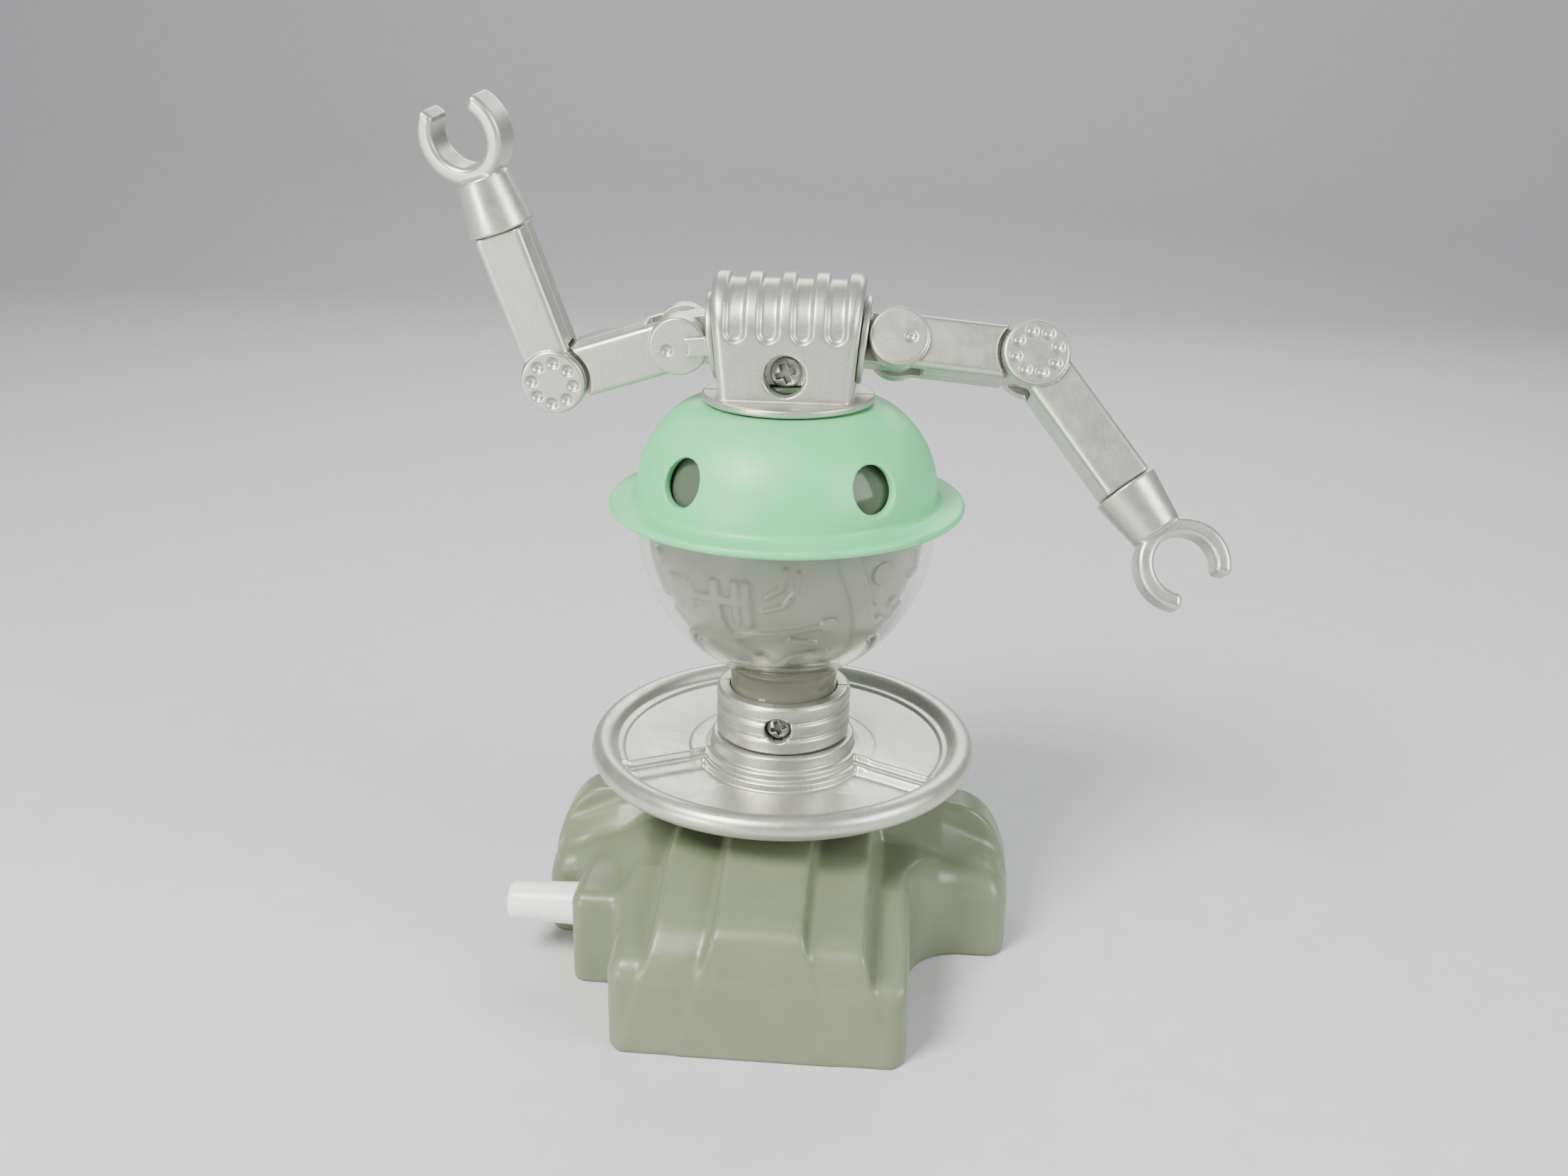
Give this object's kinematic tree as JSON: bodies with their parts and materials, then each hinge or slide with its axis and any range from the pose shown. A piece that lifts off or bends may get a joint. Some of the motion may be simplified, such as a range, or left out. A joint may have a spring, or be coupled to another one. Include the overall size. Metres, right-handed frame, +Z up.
{
  "type": "toy robot",
  "caption": "Posable toy robot: clear round body under a domed hat, jointed arms with open claws, on a turntable that a side button turns.",
  "frame": {"origin": "centre of the turntable's axis at the underside of the base, where it meets the table", "axes": "+Z up, -Y towards the robot's front, +X towards the viewer's right when it is seen from the front"},
  "size_m": [0.1034, 0.0726, 0.1152],
  "materials": {
    "base_plastic": "semi-gloss grey-green moulded",
    "silver_plastic": "satin silver-grey moulded",
    "mint_plastic": "matte mint green moulded",
    "clear_plastic": "clear, faintly yellow, glossy",
    "white_plastic": "gloss white moulded",
    "steel": "zinc plated"
  },
  "bodies": {
    "base": {"base_shell": "base_plastic", "base_plate": "base_plastic", "base_screws": "steel", "spindle_bush": "white_plastic", "return_spring": "steel"},
    "button": {"push_button": "white_plastic", "rack_carriage": "white_plastic"},
    "turntable": {"turntable_disc": "silver_plastic", "spindle": "white_plastic", "pinion": "white_plastic", "retaining_clip": "steel", "collar_front": "silver_plastic", "collar_back": "silver_plastic", "collar_screw": "steel"},
    "torso": {"globe_bowl": "clear_plastic", "machinery_insert": "clear_plastic", "globe_liner": "clear_plastic", "hat": "mint_plastic", "block_front": "silver_plastic", "block_back": "silver_plastic", "block_screw": "steel"},
    "left_yoke": {"yoke_left": "silver_plastic"},
    "left_upper_arm": {"upper_arm_front_left": "silver_plastic", "upper_arm_back_left": "silver_plastic"},
    "left_forearm": {"forearm_front_left": "silver_plastic", "forearm_back_left": "silver_plastic"},
    "left_hand": {"hand_left": "silver_plastic"},
    "right_yoke": {"yoke_right": "silver_plastic"},
    "right_upper_arm": {"upper_arm_front_right": "silver_plastic", "upper_arm_back_right": "silver_plastic"},
    "right_forearm": {"forearm_front_right": "silver_plastic", "forearm_back_right": "silver_plastic"},
    "right_hand": {"hand_right": "silver_plastic"}
  },
  "joints": [
    {"name": "turntable_spin", "type": "hinge", "parent": "base", "child": "turntable", "pos_m": [0, 0, 0.02], "axis": [0, 0, 1], "range_deg": [0, 85.9], "stiffness_Nm_per_rad": 0.0008, "springref_deg": -17.19},
    {"name": "button_push", "type": "slide", "parent": "base", "child": "button", "axis": [1, 0, 0], "range_m": [0, 0.006], "stiffness_N_per_m": 0.5, "springref_m": -0.001, "deforming": ["return_spring"]},
    {"name": "waist_swivel", "type": "hinge", "parent": "turntable", "child": "torso", "pos_m": [0, 0, 0.0353], "axis": [0, 0, 1], "continuous": true},
    {"name": "left_shoulder_swing", "type": "hinge", "parent": "torso", "child": "left_yoke", "pos_m": [-0.00895, 0, 0.08502], "axis": [-0.9945, 0, -0.1045], "range_deg": [-84, 96]},
    {"name": "left_arm_lift", "type": "hinge", "parent": "left_yoke", "child": "left_upper_arm", "pos_m": [-0.01402, 0, 0.08449], "axis": [-0.0109, 0.9945, 0.104], "range_deg": [-1, 47]},
    {"name": "left_elbow_bend", "type": "hinge", "parent": "left_upper_arm", "child": "left_forearm", "pos_m": [-0.03057, 0.00038, 0.07913], "axis": [-0.0109, 0.9945, 0.104], "range_deg": [-162, 2]},
    {"name": "left_wrist_turn", "type": "hinge", "parent": "left_forearm", "child": "left_hand", "pos_m": [-0.03613, -0.00146, 0.09616], "axis": [-0.3085, -0.1022, 0.9457], "continuous": true},
    {"name": "right_shoulder_swing", "type": "hinge", "parent": "torso", "child": "right_yoke", "pos_m": [0.00895, 0, 0.08502], "axis": [0.9945, 0, -0.1045], "range_deg": [-62, 118]},
    {"name": "right_arm_lift", "type": "hinge", "parent": "right_yoke", "child": "right_upper_arm", "pos_m": [0.01402, 0, 0.08449], "axis": [0.0491, -0.8829, 0.4669], "range_deg": [-14, 34]},
    {"name": "right_elbow_bend", "type": "hinge", "parent": "right_upper_arm", "child": "right_forearm", "pos_m": [0.03135, 0.00014, 0.08294], "axis": [0.0491, -0.8829, 0.4669], "range_deg": [-23.5, 140.5]},
    {"name": "right_wrist_turn", "type": "hinge", "parent": "right_forearm", "child": "right_hand", "pos_m": [0.04222, -0.00609, 0.07001], "axis": [0.6038, -0.3461, -0.718], "continuous": true}
  ],
  "couplings": [
    {"joint": "button_push", "follows": "turntable_spin", "m_per_rad": 0.004}
  ]
}
